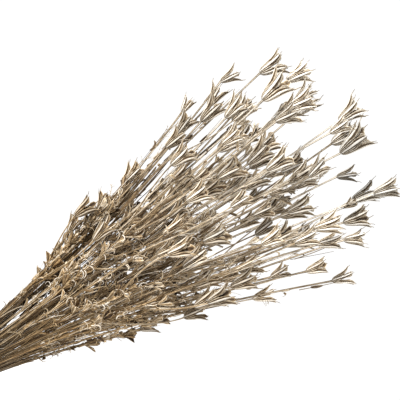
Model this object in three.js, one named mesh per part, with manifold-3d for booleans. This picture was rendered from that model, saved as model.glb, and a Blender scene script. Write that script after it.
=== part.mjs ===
// A bunch of dried Nigella orientalis: cut stems with split seed heads, in a plain stoneware bottle vase.
// Millimetres, +Z up. The origin is the middle of the vase's flat foot, on the surface that it stands on.
// Seen along +Y the bunch has the outline of a wide fan, and it is nearly as deep as it is wide.
import * as THREE from "three";
import { mergeVertices } from "three/addons/utils/BufferGeometryUtils.js";
import Module from "manifold-3d";

// The vase: a thrown bottle with a flat foot, a round belly and a narrow neck that gathers the stems
const VASE_HEIGHT = 185;
const VASE_WALL = 4;
const VASE_FLOOR = 7;
const VASE_SIDES = 30;
const VASE_STEPS = 10;
const FOOT_RADIUS = 37;
const FOOT_ROUNDING = 2;
const NECK_RADIUS = 23;
const NECK_HEIGHT = 160;
const LIP_RADIUS = 26;

// Radius and height of the points that the vase's outside runs through, from the foot to the lip
const VASE_OUTLINE = [
  [FOOT_RADIUS, FOOT_ROUNDING],
  [50, 29],
  [53, 58],
  [43, 98],
  [26.5, 132],
  [NECK_RADIUS, NECK_HEIGHT],
  [LIP_RADIUS, VASE_HEIGHT],
];

// The bunch: where the stems stand, how tightly the neck holds them and how the heads spread above the mouth
const STAND_GAP = 0.3;
const STAND_RADIUS = 29;
const WAIST_RADIUS = 15.2;
const STAND_BEND = 1.3;
const FAN_BEND = 1.6;
const CONE_SLOPE = 0.245;
const DOME_RISE = 335;
const DOME_HEIGHT = 115;
const DOME_RADIUS = 112;
const FAN_APEX = 60;
const STEM_BOW = 5;

// Stems: the outline list below gives the outer and front ones, and a spiral fills in the rest
const STEM_COUNT = 52;
const FILLER_RISES = [285, 425];
const FILLER_SPREAD = 0.92;
const FILLER_LEAN = 0.15;
const STEM_FOOT_RADIUS = 1.25;
const STEM_TOP_RADIUS = 0.85;

// Side branches: rises are above the vase's mouth, and a place along the stem is a share of its length there
const BRANCH_RADIUS = 0.7;
const BRANCH_SPREAD = 1.7;
const BRANCH_REACH = [15, 25];
const BRANCH_LENGTH = [60, 105];
const BRANCH_PLACE = [0.2, 0.86];
const BRANCH_TURN = 0.4;
const BRANCH_LEAN = 0.16;
const INNER_SHARE = 0.5;
const BRANCHED_RISE = 200;
const TWICE_BRANCHED_RISE = 260;
const TWICE_BRANCHED_EVERY = 2;
const LOWEST_HEAD_RISE = 130;
const LOWEST_FORK_RISE = 25;

// A seed head: its lengths along the axis and radii are shares of the head's length
const HEAD_LENGTHS = [20, 29];
const LOWEST_HEAD_SHARE = 0.72;
const FULL_HEAD_RISE = 300;
const HEAD_SHOULDER = { along: 0.07, radius: 0.14 };
const HEAD_CUP = { along: 0.5, keel: 0.29, valley: 0.18 };
const CUP_FLOOR = 0.42;
const LOBE_BELLY = { along: 0.8, keel: 0.37, inner: 0.23, halfWidth: 0.075 };
const AWN_TIP = { along: 1.24, radius: 0.49 };
const LARGE_HEAD = 24;
const LOBE_REACH = [0.9, 1.06];
const LOBE_FLARE = [0.86, 1.16];
const LOBE_SWING = 0.12;

// Dried leaves: all that is left of one is a stiff thread that arches out from its stem, low in the bunch
const LEAF_TRIES = 2;
const LEAF_RISES = [30, 225];
const LEAF_LENGTHS = [15, 27];
const LEAF_RADIUS = 0.6;
const LEAF_FAN = 1.1;
const LEAF_ARCH = { out: 0.6, bend: 1.2, up: 1.0, droop: 0.5 };
const LEAF_GAP = 1.9;
const LEAF_APART = 5;

// Heads on the outline and at the front: side and rise above the vase's mouth (mm), share of the depth there
// (-1 front, 1 back), lean to the side (degrees), length of the head (mm)
const OUTLINE_HEADS = [
  [-95, 399, 0.1, 3, 27],
  [-68, 385, -0.6, -11, 32],
  [-67, 418, 0.2, 6, 25],
  [-53, 402, -0.5, 10, 26],
  [-43, 383, -0.9, 10, 24],
  [-32, 408, 0.4, -12, 28],
  [-13, 441, 0.1, -5, 27],
  [17, 424, -0.3, -7, 33],
  [-10, 351, -0.9, -1, 27],
  [30, 412, 0.5, 20, 20],
  [-73, 345, -0.5, -15, 25],
  [-91, 338, 0.2, -24, 23],
  [-106, 361, -0.1, 1, 20],
  [63, 432, 0.0, 14, 25],
  [-45, 328, -0.8, -2, 22],
  [18, 383, -0.7, -12, 23],
  [75, 392, 0.2, 15, 26],
  [54, 362, -0.5, 18, 26],
  [82, 357, -0.4, 20, 24],
  [92, 383, 0.1, 26, 21],
  [95, 334, -0.2, 13, 21],
  [110, 351, 0.1, 17, 21],
  [79, 301, 0.1, 5, 20],
  [69, 234, 0.0, 26, 18],
  [50, 309, -0.8, 4, 23],
  [66, 262, -0.3, 11, 26],
  [-82, 297, -0.1, -22, 23],
  [-99, 312, 0.1, -28, 17],
  [-69, 230, 0.0, -14, 20],
  [-49, 152, 0.0, -28, 19],
  [-64, 190, 0.1, -34, 17],
  [57, 162, 0.0, 15, 18],
];

// Random draws come from one seeded sequence, so the bunch is the same each time
let drawn = 20260;
function random() {
  drawn = (Math.imul(drawn, 1664525) + 1013904223) >>> 0;
  return drawn / 2 ** 32;
}
const between = (low, high) => low + (high - low) * random();

// How wide the bunch is at a rise above the mouth: a cone up to the widest place, and a dome over it
function bunchRadius(rise) {
  const cone = WAIST_RADIUS + CONE_SLOPE * rise;
  if (rise < DOME_RISE) return cone;
  const share = Math.min(1, (rise - DOME_RISE) / DOME_HEIGHT);
  return Math.min(cone, DOME_RADIUS * Math.sqrt(1 - share * share));
}

// A head's own random draws: how far it turns, and how each lobe differs from the mean
function makeHead(length, slope) {
  const lobeCount = length > LARGE_HEAD ? 6 : 5;
  const turn = between(0, (2 * Math.PI) / lobeCount);
  const lobes = [];
  for (let k = 0; k < lobeCount; k++) {
    const reach = between(...LOBE_REACH);
    const flare = between(...LOBE_FLARE);
    lobes.push({ reach, flare, swing: between(-LOBE_SWING, LOBE_SWING) });
  }
  return { length, slope, turn, lobes };
}

// Each stem has a place in the waist, a place for its head, and a bow between the two
function makeStem(side, depth, rise, slope, length) {
  const topZ = VASE_HEIGHT + rise;
  const waistShare = WAIST_RADIUS / Math.max(bunchRadius(rise), Math.hypot(side, depth));
  return {
    topZ,
    top: [side, depth],
    waist: [side * waistShare, depth * waistShare],
    bow: [between(-STEM_BOW, STEM_BOW), between(-STEM_BOW, STEM_BOW)],
    head: makeHead(length, slope),
    branches: [],
    leaves: [],
  };
}

function outlineStem([side, rise, depthShare, leanDegrees, length]) {
  const room = Math.sqrt(Math.max(0, bunchRadius(rise) ** 2 - side * side));
  const depth = depthShare * room;
  const slope = [Math.tan(THREE.MathUtils.degToRad(leanDegrees)), depth / (rise + FAN_APEX)];
  return makeStem(side, depth, rise, slope, length);
}

// The stems that the outline list doesn't give: a spiral from the middle out, mostly in the back half
const GOLDEN_ANGLE = Math.PI * (3 - Math.sqrt(5));
function spiralStem(index, count) {
  const rise = between(...FILLER_RISES);
  const spread = bunchRadius(rise) * FILLER_SPREAD * Math.sqrt((index + 0.5) / count);
  const angle = index * GOLDEN_ANGLE;
  const side = spread * Math.cos(angle);
  const turned = spread * Math.sin(angle);
  const depth = turned < 0 && index % 3 ? -turned : turned;
  const slope = [side, depth].map((c) => c / (rise + FAN_APEX) + between(-FILLER_LEAN, FILLER_LEAN));
  return makeStem(side, depth, rise, slope, between(...HEAD_LENGTHS));
}

// The side branch of an outer stem grows inwards, so that its head stays inside the bunch
function turnedInwards([x, y], stem) {
  const spread = Math.hypot(...stem.top);
  const outwards = (x * stem.top[0] + y * stem.top[1]) / spread;
  if (outwards < 0 || spread < INNER_SHARE * bunchRadius(stem.topZ - VASE_HEIGHT)) return [x, y];
  return [x - (2 * outwards * stem.top[0]) / spread, y - (2 * outwards * stem.top[1]) / spread];
}

// A side branch leaves its stem low down, bends out and runs up beside it to its own head
function addBranch(stem, index) {
  const stemRise = stem.topZ - VASE_HEIGHT;
  const rise = LOWEST_HEAD_RISE + (stemRise - LOWEST_HEAD_RISE) * between(...BRANCH_PLACE);
  const forkRise = Math.max(LOWEST_FORK_RISE, rise - between(...BRANCH_LENGTH));
  const angle = index * GOLDEN_ANGLE + between(-BRANCH_TURN, BRANCH_TURN);
  const reach = between(...BRANCH_REACH);
  const offset = turnedInwards([reach * Math.cos(angle), reach * Math.sin(angle)], stem);
  const slope = [0, 1].map((k) => {
    const outwards = stem.top[k] / (stemRise + FAN_APEX) + offset[k] / (rise + FAN_APEX);
    return outwards + between(-BRANCH_LEAN, BRANCH_LEAN);
  });
  const lowShare = 1 - Math.min(1, rise / FULL_HEAD_RISE);
  const length = between(...HEAD_LENGTHS) * (1 - (1 - LOWEST_HEAD_SHARE) * lowShare);
  stem.branches.push({
    forkZ: VASE_HEIGHT + forkRise,
    topZ: VASE_HEIGHT + rise,
    offset,
    head: makeHead(length, slope),
  });
}

// How many side branches a stem has: one for most, two for every other tall one, none for low ones
function branchCount(stem, index) {
  const rise = stem.topZ - VASE_HEIGHT;
  if (rise < BRANCHED_RISE) return 0;
  return rise > TWICE_BRANCHED_RISE && index % TWICE_BRANCHED_EVERY === 0 ? 2 : 1;
}

function plantBunch() {
  const stems = OUTLINE_HEADS.map(outlineStem);
  const rest = STEM_COUNT - stems.length;
  for (let i = 0; i < rest; i++) stems.push(spiralStem(i, rest));
  let branchIndex = 0;
  stems.forEach((stem, index) => {
    for (let k = branchCount(stem, index); k > 0; k--) addBranch(stem, branchIndex++);
  });
  return stems;
}

// Where a stem's centre is at a height: splayed inside the vase, gathered at the neck, fanned out above it
const STAND_Z = VASE_FLOOR + STAND_GAP;
function stemCentre(stem, z) {
  if (z <= NECK_HEIGHT) {
    const down = ((NECK_HEIGHT - z) / (NECK_HEIGHT - STAND_Z)) ** STAND_BEND;
    const splay = 1 + (STAND_RADIUS / WAIST_RADIUS - 1) * down;
    return [stem.waist[0] * splay, stem.waist[1] * splay];
  }
  const up = (z - NECK_HEIGHT) / (stem.topZ - NECK_HEIGHT);
  const fan = up ** FAN_BEND;
  const bow = 4 * up * (1 - up);
  return [0, 1].map((k) => stem.waist[k] * (1 - fan) + stem.top[k] * fan + stem.bow[k] * bow);
}

function branchOut(branch, z) {
  const up = Math.min(1, (z - branch.forkZ) / (branch.topZ - branch.forkZ));
  return 1 - (1 - up) ** BRANCH_SPREAD;
}

function branchCentre(stem, branch, z) {
  const out = branchOut(branch, z);
  return stemCentre(stem, z).map((c, k) => c + branch.offset[k] * out);
}

function stemRadius(z) {
  const up = Math.max(0, (z - NECK_HEIGHT) / (VASE_HEIGHT + DOME_RISE - NECK_HEIGHT));
  return STEM_FOOT_RADIUS + (STEM_TOP_RADIUS - STEM_FOOT_RADIUS) * Math.min(1, up);
}

// Stems and heads that would cross are bent clear of each other. At each of a row of heights every stem, branch
// and head is a disc, and discs that are too close push each other apart a little, many times over.
const LEVEL_STEP = 6;
const ROUNDS = 200;
const PULLED_ROUNDS = 110;
const CLEAR_GAP = 1.6;
const PUSH_SHARE = 0.45;
const HOME_PULL = 0.02;
const BOW_LOSS = 0.01;
const NEAR_FORK = 0.08;
const LEAST_LEVERAGE = 0.35;
const HEAD_DISC = [0.14, 0.25, 0.36, 0.46, 0.52];

// How far a head reaches above its stem's top
const headRise = (head) => (head.length * AWN_TIP.along * LOBE_REACH[1]) / Math.hypot(1, ...head.slope);

function headDisc(head, rise) {
  const along = Math.min(1, rise / headRise(head)) * (HEAD_DISC.length - 1);
  const low = Math.min(HEAD_DISC.length - 2, Math.floor(along));
  const share = HEAD_DISC[low] + (HEAD_DISC[low + 1] - HEAD_DISC[low]) * (along - low);
  return head.length * share * Math.hypot(1, ...head.slope);
}

// The disc of one strand at a height, or null where the strand isn't there
function discAt(strand, z) {
  const { stem, branch } = strand;
  const { topZ, head } = branch ?? stem;
  if (z > topZ + headRise(head) || (branch && z < branch.forkZ)) return null;
  const base = branch ? branchCentre(stem, branch, Math.min(z, topZ)) : stemCentre(stem, Math.min(z, topZ));
  if (z <= topZ) return { strand, z, at: base, radius: branch ? BRANCH_RADIUS : stemRadius(z), head: false };
  const at = base.map((c, k) => c + head.slope[k] * (z - topZ));
  return { strand, z, at, radius: headDisc(head, z - topZ), head: true };
}

// A disc's push moves its strand's waist, top and bow, or its branch's offset, by how much each moves that disc
function pushStem(stem, z, push) {
  const up = Math.min(1, (z - NECK_HEIGHT) / (stem.topZ - NECK_HEIGHT));
  const fan = up ** FAN_BEND;
  const bow = 4 * up * (1 - up);
  const total = (1 - fan) ** 2 + fan ** 2 + bow ** 2;
  for (const k of [0, 1]) {
    stem.move.waist[k] += (push[k] * (1 - fan)) / total;
    stem.move.top[k] += (push[k] * fan) / total;
    stem.move.bow[k] += (push[k] * bow) / total;
  }
  stem.move.count += 1;
}

function pushDisc(disc, push) {
  const { stem, branch } = disc.strand;
  const out = branch ? branchOut(branch, disc.z) : 0;
  if (out > NEAR_FORK) {
    for (const k of [0, 1]) branch.move.offset[k] += push[k] / Math.max(out, LEAST_LEVERAGE);
    branch.move.count += 1;
  } else pushStem(stem, disc.z, push);
}

function clearPair(a, b) {
  const sameStem = a.strand.stem === b.strand.stem;
  if (sameStem && !a.head && !b.head) return;
  const apart = [b.at[0] - a.at[0], b.at[1] - a.at[1]];
  const distance = Math.max(1e-6, Math.hypot(...apart));
  const short = a.radius + b.radius + CLEAR_GAP - distance;
  if (short <= 0) return;
  const step = (short * PUSH_SHARE) / distance;
  pushDisc(a, [-apart[0] * step, -apart[1] * step]);
  pushDisc(b, [apart[0] * step, apart[1] * step]);
}

function settle(stem, home, pull) {
  const rate = 1 / Math.max(1, Math.sqrt(stem.move.count));
  for (const k of [0, 1]) {
    stem.waist[k] += stem.move.waist[k] * rate;
    stem.top[k] += stem.move.top[k] * rate + pull * HOME_PULL * (home.top[k] - stem.top[k]);
    stem.bow[k] = (1 - pull * BOW_LOSS) * stem.bow[k] + stem.move.bow[k] * rate;
  }
  const spread = Math.hypot(...stem.waist);
  if (spread > WAIST_RADIUS) stem.waist = stem.waist.map((c) => (c * WAIST_RADIUS) / spread);
  for (const branch of stem.branches) {
    const share = 1 / Math.max(1, Math.sqrt(branch.move.count));
    for (const k of [0, 1]) branch.offset[k] += branch.move.offset[k] * share;
  }
}

function strandsOf(stems) {
  return stems.flatMap((stem) => [{ stem }, ...stem.branches.map((branch) => ({ stem, branch }))]);
}

function bendClear(stems) {
  const homes = stems.map((stem) => ({ top: [...stem.top] }));
  const strands = strandsOf(stems);
  const highest = Math.max(...stems.map((stem) => stem.topZ + headRise(stem.head)));
  for (let round = 0; round < ROUNDS; round++) {
    for (const stem of stems) {
      stem.move = { waist: [0, 0], top: [0, 0], bow: [0, 0], count: 0 };
      for (const branch of stem.branches) branch.move = { offset: [0, 0], count: 0 };
    }
    for (let z = NECK_HEIGHT; z < highest; z += LEVEL_STEP) {
      const discs = strands.map((strand) => discAt(strand, z)).filter(Boolean);
      discs.forEach((a, i) => {
        for (const b of discs.slice(i + 1)) clearPair(a, b);
      });
    }
    const pull = Math.max(0, 1 - round / PULLED_ROUNDS);
    stems.forEach((stem, index) => settle(stem, homes[index], pull));
  }
}

// A leaf's curve: up and out from the stem's centre, then over
function leafPoint(stem, leaf, share) {
  const [x, y] = stemCentre(stem, leaf.z);
  const out = leaf.length * LEAF_ARCH.out * share ** LEAF_ARCH.bend;
  const up = leaf.length * (LEAF_ARCH.up * share - LEAF_ARCH.droop * share * share);
  return new THREE.Vector3(x + out * Math.cos(leaf.heading), y + out * Math.sin(leaf.heading), leaf.z + up);
}

const LEAF_PROBES = Array.from({ length: 11 }, (_, k) => (k + 2) / 12);
function leafIsClear(points, others, placed) {
  return points.every((point) => {
    const clearOfStems = others.every((strand) => {
      const disc = discAt(strand, point.z);
      return !disc || Math.hypot(disc.at[0] - point.x, disc.at[1] - point.y) > disc.radius + LEAF_GAP;
    });
    return clearOfStems && placed.every((other) => other.distanceTo(point) > LEAF_APART);
  });
}

// Each stem tries for a few leaves that point away from the bunch's middle, and keeps those that are clear
function growLeaves(stems) {
  const strands = strandsOf(stems);
  const placed = [];
  for (const stem of stems) {
    const others = strands.filter((strand) => strand.stem !== stem);
    for (let k = 0; k < LEAF_TRIES; k++) {
      const z = VASE_HEIGHT + between(...LEAF_RISES);
      const [x, y] = stemCentre(stem, z);
      const heading = Math.atan2(y, x) + between(-LEAF_FAN, LEAF_FAN);
      const leaf = { z, heading, length: between(...LEAF_LENGTHS) };
      const points = LEAF_PROBES.map((share) => leafPoint(stem, leaf, share));
      if (z > stem.topZ - LEAF_LENGTHS[1] || !leafIsClear(points, others, placed)) continue;
      stem.leaves.push(leaf);
      placed.push(...points);
    }
  }
}

// Geometry: a closed mesh is a list of corners and a list of triangles, built ring by ring
class ClosedMesh {
  corners = [];
  faces = [];

  add(point) {
    return this.corners.push(point) - 1;
  }

  ring(points) {
    return points.map((point) => this.add(point));
  }

  // A fan of triangles from one corner over a ring, facing away from the ring's inside
  cap(ring, corner, outwards) {
    ring.forEach((a, i) => {
      const b = ring[(i + 1) % ring.length];
      this.faces.push(outwards ? [corner, a, b] : [corner, b, a]);
    });
  }

  // Triangles between two rings that run the same way round, with any number of corners each
  join(lower, upper) {
    let i = 0;
    let j = 0;
    while (i < lower.length || j < upper.length) {
      const a = lower[i % lower.length];
      const b = upper[j % upper.length];
      if (j >= upper.length || (i < lower.length && (i + 0.5) / lower.length <= (j + 0.5) / upper.length)) {
        this.faces.push([a, lower[(i + 1) % lower.length], b]);
        i += 1;
      } else {
        this.faces.push([a, upper[(j + 1) % upper.length], b]);
        j += 1;
      }
    }
  }

  geometry() {
    const made = new THREE.BufferGeometry();
    const numbers = this.corners.flatMap((corner) => corner.toArray());
    made.setAttribute("position", new THREE.Float32BufferAttribute(numbers, 3));
    made.setIndex(this.faces.flat());
    return made;
  }
}

// The head's own frame: its axis, and two directions across it
function headFrame(head) {
  const axis = new THREE.Vector3(head.slope[0], head.slope[1], 1).normalize();
  const across = new THREE.Vector3(0, 1, 0).cross(axis).normalize();
  return { axis, across, beside: axis.clone().cross(across) };
}

// Carries a stem's last ring on into its seed head: ribbed cup, free lobes and awns
function growHead(mesh, lastRing, base, head) {
  const { axis, across, beside } = headFrame(head);
  const size = head.length;
  const spacing = (2 * Math.PI) / head.lobes.length;
  const place = (along, radius, angle) =>
    base
      .clone()
      .addScaledVector(axis, along * size)
      .addScaledVector(across, radius * size * Math.cos(angle))
      .addScaledVector(beside, radius * size * Math.sin(angle));
  const keelAngle = (k) => head.turn + k * spacing + head.lobes[k].swing;
  const valleyAngle = (k) => head.turn + (k - 0.5) * spacing;
  const shoulder = mesh.ring(
    head.lobes.map((_, k) => place(HEAD_SHOULDER.along, HEAD_SHOULDER.radius, keelAngle(k))),
  );
  const cup = mesh.ring(
    head.lobes.flatMap((_, k) => [
      place(HEAD_CUP.along, HEAD_CUP.valley, valleyAngle(k)),
      place(HEAD_CUP.along, HEAD_CUP.keel, keelAngle(k)),
    ]),
  );
  mesh.join(lastRing, shoulder);
  mesh.join(shoulder, cup);
  const floor = mesh.add(place(CUP_FLOOR, 0, 0));
  head.lobes.forEach((lobe, k) => {
    const angle = keelAngle(k);
    const bellyRadius = LOBE_BELLY.keel * lobe.flare;
    const innerRadius = LOBE_BELLY.inner * lobe.flare;
    const half = LOBE_BELLY.halfWidth / innerRadius;
    const belly = mesh.ring([
      place(LOBE_BELLY.along * lobe.reach, innerRadius, angle - half),
      place(LOBE_BELLY.along * lobe.reach, bellyRadius, angle),
      place(LOBE_BELLY.along * lobe.reach, innerRadius, angle + half),
    ]);
    const [left, keel, right] = [cup[2 * k], cup[2 * k + 1], cup[(2 * k + 2) % cup.length]];
    mesh.faces.push([left, keel, belly[1]], [left, belly[1], belly[0]]);
    mesh.faces.push([keel, right, belly[2]], [keel, belly[2], belly[1]]);
    mesh.faces.push([right, floor, belly[2]], [floor, left, belly[0]], [floor, belly[0], belly[2]]);
    const awn = mesh.add(place(AWN_TIP.along * lobe.reach, AWN_TIP.radius * lobe.flare, angle));
    mesh.cap(belly, awn, true);
  });
}

const STEM_SIDES = 3;
function tubeRing(mesh, [x, y], z, radius, turn) {
  const corners = [];
  for (let k = 0; k < STEM_SIDES; k++) {
    const angle = turn + (k * 2 * Math.PI) / STEM_SIDES;
    corners.push(new THREE.Vector3(x + radius * Math.cos(angle), y + radius * Math.sin(angle), z));
  }
  return mesh.ring(corners);
}

// A tube through a row of heights, closed at its root and carried on into a head at its top
function growStrand(heights, centre, radius, head) {
  const mesh = new ClosedMesh();
  let ring = null;
  for (const z of heights) {
    const next = tubeRing(mesh, centre(z), z, radius(z), head.turn);
    if (ring) mesh.join(ring, next);
    else mesh.faces.push([next[0], next[2], next[1]]);
    ring = next;
  }
  const topZ = heights.at(-1);
  growHead(mesh, ring, new THREE.Vector3(...centre(topZ), topZ), head);
  return mesh.geometry();
}

const SHARES_IN_VASE = [0, 0.45, 1];
const SHARES_ABOVE = [0.1, 0.24, 0.4, 0.58, 0.78, 1];
const SHARES_OF_BRANCH = [0, 0.18, 0.42, 0.7, 1];
const SHARES_OF_LEAF = [0, 0.35, 0.7];
const at = (low, high) => (share) => low + (high - low) * share;

// A leaf is a thin three-sided thread that starts inside its stem and runs out to a point
function leafGeometry(stem, leaf) {
  const mesh = new ClosedMesh();
  const side = new THREE.Vector3(-Math.sin(leaf.heading), Math.cos(leaf.heading), 0);
  let ring = null;
  for (const share of SHARES_OF_LEAF) {
    const middle = leafPoint(stem, leaf, share);
    const along = leafPoint(stem, leaf, share + 0.02).sub(middle).normalize();
    const top = along.clone().cross(side);
    const corner = (angle) =>
      middle
        .clone()
        .addScaledVector(side, LEAF_RADIUS * Math.cos(angle))
        .addScaledVector(top, LEAF_RADIUS * Math.sin(angle));
    const next = mesh.ring([0, 1, 2].map((k) => corner(Math.PI / 2 + (k * 2 * Math.PI) / 3)));
    if (ring) mesh.join(ring, next);
    else mesh.faces.push([next[0], next[2], next[1]]);
    ring = next;
  }
  mesh.cap(ring, mesh.add(leafPoint(stem, leaf, 1)), true);
  return mesh.geometry();
}

const wasm = await Module();
wasm.setup();

function solidOf(geometry) {
  const bare = geometry.index ? geometry.clone() : geometry;
  bare.deleteAttribute("normal");
  bare.deleteAttribute("uv");
  const merged = mergeVertices(bare, 1e-4);
  return new wasm.Manifold(
    new wasm.Mesh({
      numProp: 3,
      vertProperties: merged.attributes.position.array,
      triVerts: new Uint32Array(merged.index.array),
    }),
  );
}

function geometryOf(solid) {
  const { vertProperties, triVerts } = solid.getMesh();
  const made = new THREE.BufferGeometry();
  made.setAttribute("position", new THREE.BufferAttribute(vertProperties, 3));
  made.setIndex(new THREE.BufferAttribute(triVerts, 1));
  made.computeVertexNormals();
  return made;
}

// One flowering stem: the main stem with its side branches and leaves, grown together as one body
function stemGeometry(stem) {
  const heights = [
    ...SHARES_IN_VASE.map(at(STAND_Z, NECK_HEIGHT)),
    ...SHARES_ABOVE.map(at(NECK_HEIGHT, stem.topZ)),
  ];
  let solid = solidOf(growStrand(heights, (z) => stemCentre(stem, z), stemRadius, stem.head));
  for (const branch of stem.branches) {
    const branchHeights = SHARES_OF_BRANCH.map(at(branch.forkZ, branch.topZ));
    const centre = (z) => branchCentre(stem, branch, z);
    const grown = growStrand(branchHeights, centre, () => BRANCH_RADIUS, branch.head);
    solid = solid.add(solidOf(grown));
  }
  for (const leaf of stem.leaves) solid = solid.add(solidOf(leafGeometry(stem, leaf)));
  return geometryOf(solid);
}

// The vase's outside is a smooth curve through a few radii, and its inside is that curve a wall's thickness in
function vaseGeometry() {
  const outline = new THREE.SplineCurve(VASE_OUTLINE.map((p) => new THREE.Vector2(...p))).getPoints(VASE_STEPS);
  const inside = outline.filter((p) => p.y > VASE_FLOOR).map((p) => new THREE.Vector2(p.x - VASE_WALL, p.y));
  const floorEdge = new THREE.Vector2(inside[0].x - VASE_WALL, VASE_FLOOR);
  const profile = [
    new THREE.Vector2(0, 0),
    new THREE.Vector2(FOOT_RADIUS - FOOT_ROUNDING, 0),
    ...outline,
    ...inside.reverse(),
    floorEdge,
    new THREE.Vector2(0, VASE_FLOOR),
  ];
  return geometryOf(solidOf(new THREE.LatheGeometry(profile, VASE_SIDES).rotateX(Math.PI / 2)));
}

const stoneware = new THREE.MeshStandardMaterial({ color: 0xd9d2c4, roughness: 0.55, metalness: 0 });
const straw = new THREE.MeshStandardMaterial({ color: 0xa8977a, roughness: 0.7, metalness: 0 });

const stems = plantBunch();
bendClear(stems);
growLeaves(stems);

const bunchInVase = new THREE.Group();
const vase = new THREE.Mesh(vaseGeometry(), stoneware);
vase.name = "vase";
bunchInVase.add(vase);
stems.forEach((stem, index) => {
  const mesh = new THREE.Mesh(stemGeometry(stem), straw);
  mesh.name = `flowering_stem_${String(index + 1).padStart(2, "0")}`;
  bunchInVase.add(mesh);
});

export default bunchInVase;
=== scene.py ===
"""Looks of a bunch of dried Nigella orientalis in a plain stoneware bottle vase.

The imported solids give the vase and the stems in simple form. Here a finer piece of the same form and place
stands for each: ribbed stems, split seed heads with keels and horns, dried leaves and litter, a glazed vase.
Lengths are in millimetres until a mesh is made, with +Z up and the vase's foot at the origin.
"""

import math

import bpy
import numpy as np
from mathutils import Matrix, Vector


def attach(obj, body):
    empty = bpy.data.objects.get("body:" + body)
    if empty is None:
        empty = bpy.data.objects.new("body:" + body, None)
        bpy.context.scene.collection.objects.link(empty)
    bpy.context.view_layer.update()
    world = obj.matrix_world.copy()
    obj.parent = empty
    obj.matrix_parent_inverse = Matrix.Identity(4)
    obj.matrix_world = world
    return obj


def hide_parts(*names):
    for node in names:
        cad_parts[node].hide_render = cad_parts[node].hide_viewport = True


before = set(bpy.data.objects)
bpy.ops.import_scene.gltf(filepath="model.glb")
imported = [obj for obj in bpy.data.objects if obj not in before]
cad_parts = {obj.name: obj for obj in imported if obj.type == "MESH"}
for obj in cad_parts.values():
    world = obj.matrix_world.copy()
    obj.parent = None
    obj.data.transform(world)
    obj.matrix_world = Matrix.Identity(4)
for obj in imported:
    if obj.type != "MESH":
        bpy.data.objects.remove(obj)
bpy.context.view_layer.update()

MM = 0.001

# The vase
VASE_HEIGHT = 185
VASE_WALL = 4
VASE_FLOOR = 7
FOOT_RADIUS = 37
FOOT_ROUNDING = 2
NECK_HEIGHT = 160
VASE_OUTLINE = [(37, 2), (50, 29), (53, 58), (43, 98), (26.5, 132), (23, 160), (26, 185)]

# The bunch: how the neck gathers it and how it fans out above the mouth
STAND_GAP = 0.3
STAND_RADIUS = 29
WAIST_RADIUS = 15.2
STAND_BEND = 1.3
FAN_BEND = 1.6
CONE_SLOPE = 0.245
DOME_RISE = 335
DOME_HEIGHT = 115
DOME_RADIUS = 112
FAN_APEX = 60
STEM_BOW = 5

# Stems and side branches
STEM_COUNT = 52
FILLER_RISES = (285, 425)
FILLER_SPREAD = 0.92
FILLER_LEAN = 0.15
STEM_FOOT_RADIUS = 1.25
STEM_TOP_RADIUS = 0.85
BRANCH_RADIUS = 0.7
BRANCH_SPREAD = 1.7
BRANCH_REACH = (15, 25)
BRANCH_LENGTH = (60, 105)
BRANCH_PLACE = (0.2, 0.86)
BRANCH_TURN = 0.4
BRANCH_LEAN = 0.16
INNER_SHARE = 0.5
BRANCHED_RISE = 200
TWICE_BRANCHED_RISE = 260
TWICE_BRANCHED_EVERY = 2
LOWEST_HEAD_RISE = 130
LOWEST_FORK_RISE = 25

# Seed heads: lengths along the axis and radii are shares of the head's length
HEAD_LENGTHS = (20, 29)
LOWEST_HEAD_SHARE = 0.72
FULL_HEAD_RISE = 300
LARGE_HEAD = 24
LOBES, LOBES_OF_LARGE = 5, 6
LOBE_REACH = (0.9, 1.06)
LOBE_FLARE = (0.86, 1.16)
LOBE_SWING = 0.12
AWN_ALONG = 1.24

# Stiff dried leaves that stand out of the bunch
LEAF_TRIES = 2
LEAF_RISES = (30, 225)
LEAF_LENGTHS = (15, 27)
LEAF_FAN = 1.1
LEAF_OUT, LEAF_BEND, LEAF_DROOP = 0.6, 1.2, 0.5
LEAF_PROBES = np.arange(2, 13) / 12
LEAF_GAP = 1.9
LEAF_APART = 5

# Heads on the outline and at the front: side and rise above the vase's mouth, share of the depth there
# (-1 front, 1 back), lean to the side in degrees, length of the head
OUTLINE_HEADS = [
    (-95, 399, 0.1, 3, 27), (-68, 385, -0.6, -11, 32), (-67, 418, 0.2, 6, 25), (-53, 402, -0.5, 10, 26),
    (-43, 383, -0.9, 10, 24), (-32, 408, 0.4, -12, 28), (-13, 441, 0.1, -5, 27), (17, 424, -0.3, -7, 33),
    (-10, 351, -0.9, -1, 27), (30, 412, 0.5, 20, 20), (-73, 345, -0.5, -15, 25), (-91, 338, 0.2, -24, 23),
    (-106, 361, -0.1, 1, 20), (63, 432, 0.0, 14, 25), (-45, 328, -0.8, -2, 22), (18, 383, -0.7, -12, 23),
    (75, 392, 0.2, 15, 26), (54, 362, -0.5, 18, 26), (82, 357, -0.4, 20, 24), (92, 383, 0.1, 26, 21),
    (95, 334, -0.2, 13, 21), (110, 351, 0.1, 17, 21), (79, 301, 0.1, 5, 20), (69, 234, 0.0, 26, 18),
    (50, 309, -0.8, 4, 23), (66, 262, -0.3, 11, 26), (-82, 297, -0.1, -22, 23), (-99, 312, 0.1, -28, 17),
    (-69, 230, 0.0, -14, 20), (-49, 152, 0.0, -28, 19), (-64, 190, 0.1, -34, 17), (57, 162, 0.0, 15, 18),
]

# How stems and heads are bent clear of each other
LEVEL_STEP = 6
ROUNDS = 200
PULLED_ROUNDS = 110
CLEAR_GAP = 1.6
PUSH_SHARE = 0.45
HOME_PULL = 0.02
BOW_LOSS = 0.01
NO_FORK = -1e9
NEAR_FORK = 0.08
LEAST_LEVERAGE = 0.35
HEAD_DISC = np.array([0.14, 0.25, 0.36, 0.46, 0.52])

SOLIDS_SEED, LOOKS_SEED = 20260, 47
GOLDEN_ANGLE = math.pi * (3 - math.sqrt(5))
STAND_Z = VASE_FLOOR + STAND_GAP


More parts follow.
